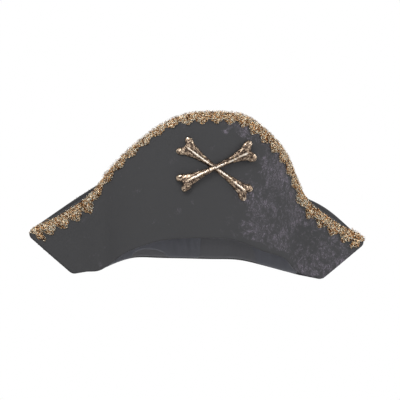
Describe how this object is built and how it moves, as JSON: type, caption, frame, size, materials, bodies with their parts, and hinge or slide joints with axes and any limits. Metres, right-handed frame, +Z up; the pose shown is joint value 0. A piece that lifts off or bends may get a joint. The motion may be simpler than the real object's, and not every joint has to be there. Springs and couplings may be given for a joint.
{
  "type": "pirate hat",
  "caption": "Bicorn pirate hat: two stiffened black velvet flaps round a lined crown, gold scalloped lace along both edges and crossed bones on the bell-shaped front.",
  "frame": {"origin": "centre of the head opening, half way up between its front and rear edges", "axes": "+Z up out of the opening towards the crown, +X towards a wing tip, -Y towards the front with the bones"},
  "size_m": [0.433, 0.1865, 0.1943],
  "materials": {
    "velvet": "crushed black velvet",
    "buckram": "stiffened open weave",
    "black_cloth": "plain weave",
    "gold_lace": "metallic thread",
    "satin": "dark satin",
    "grey_band": "ribbed ribbon",
    "antique_gold": "metallised, antiqued",
    "crown_cloth": "soft black felt cloth",
    "black_thread": "sewing thread",
    "gold_thread": "sewing thread"
  },
  "bodies": {
    "root": {"front_flap_velvet": "velvet", "front_flap_core": "buckram", "front_flap_lining": "black_cloth", "rear_flap_velvet": "velvet", "rear_flap_core": "buckram", "rear_flap_lining": "black_cloth", "front_lace_trim": "gold_lace", "rear_lace_trim": "gold_lace", "crown_front": "crown_cloth", "crown_rear": "crown_cloth", "crown_top": "crown_cloth", "crown_lining": "satin", "sweatband": "grey_band", "bone_over": "antique_gold", "bone_under": "antique_gold", "bone_over_tacks": "gold_thread", "bone_under_tacks": "gold_thread", "left_wing_seam": "black_thread", "right_wing_seam": "black_thread"}
  },
  "joints": []
}
